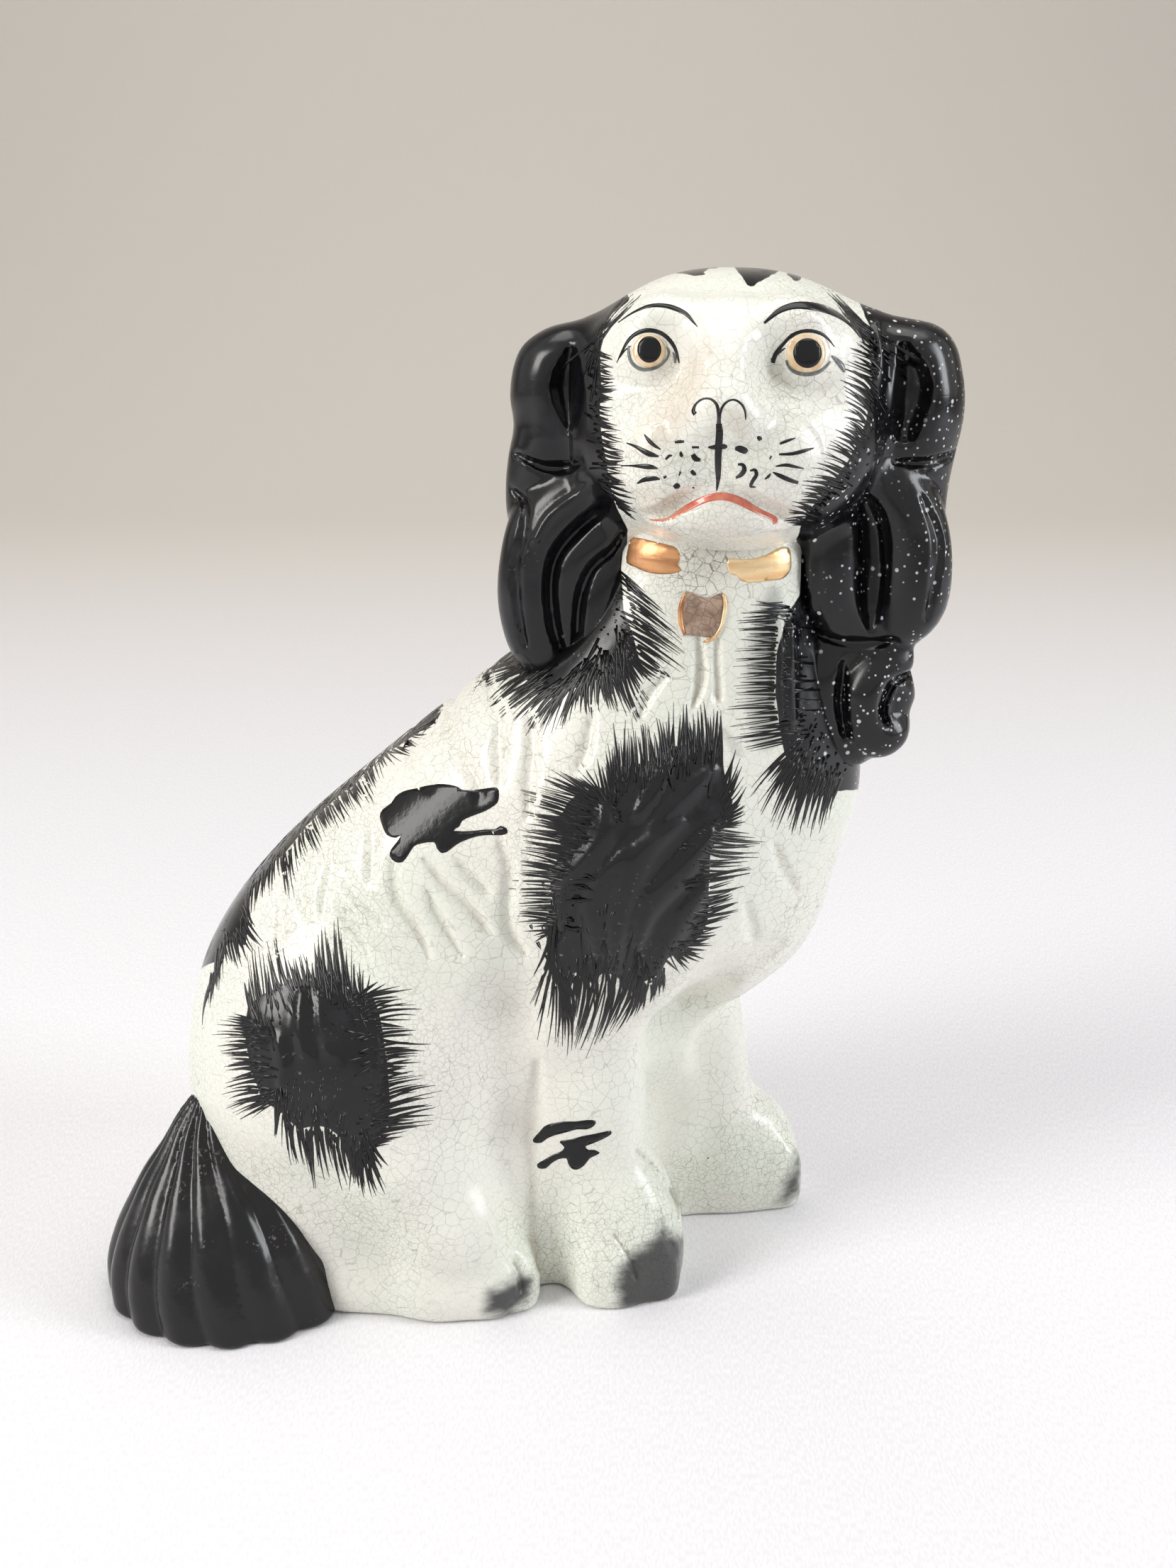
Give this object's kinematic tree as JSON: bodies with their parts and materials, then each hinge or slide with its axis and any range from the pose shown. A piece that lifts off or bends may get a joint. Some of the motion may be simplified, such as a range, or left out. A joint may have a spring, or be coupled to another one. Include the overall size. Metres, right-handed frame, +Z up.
{
  "type": "seated spaniel figure",
  "caption": "Seated spaniel mantel figure in hollow glazed earthenware, head turned to the viewer, with hanging ears, collar, locket and a curled-round tail.",
  "frame": {"origin": "on the ground under the middle of the figure's outline", "axes": "+Z up, +X from the tail towards the breast and the front paws, -Y towards the viewer, the side the face looks to"},
  "size_m": [0.2552, 0.1207, 0.305],
  "materials": {
    "cream_glaze": "glossy, finely crazed",
    "black_enamel": "glossy enamel over glaze",
    "gilding": "worn gold over glaze",
    "biscuit": "thin glaze over cream earthenware"
  },
  "bodies": {
    "root": {"body_near_pressing": "cream_glaze", "body_far_pressing": "cream_glaze", "base_slab": "biscuit", "near_front_leg": "cream_glaze", "far_front_leg": "cream_glaze", "near_hind_foot": "cream_glaze", "tail": "black_enamel", "head_face_pressing": "cream_glaze", "head_back_pressing": "cream_glaze", "right_ear": "black_enamel", "left_ear": "black_enamel", "collar": "gilding", "locket": "gilding"}
  },
  "joints": []
}
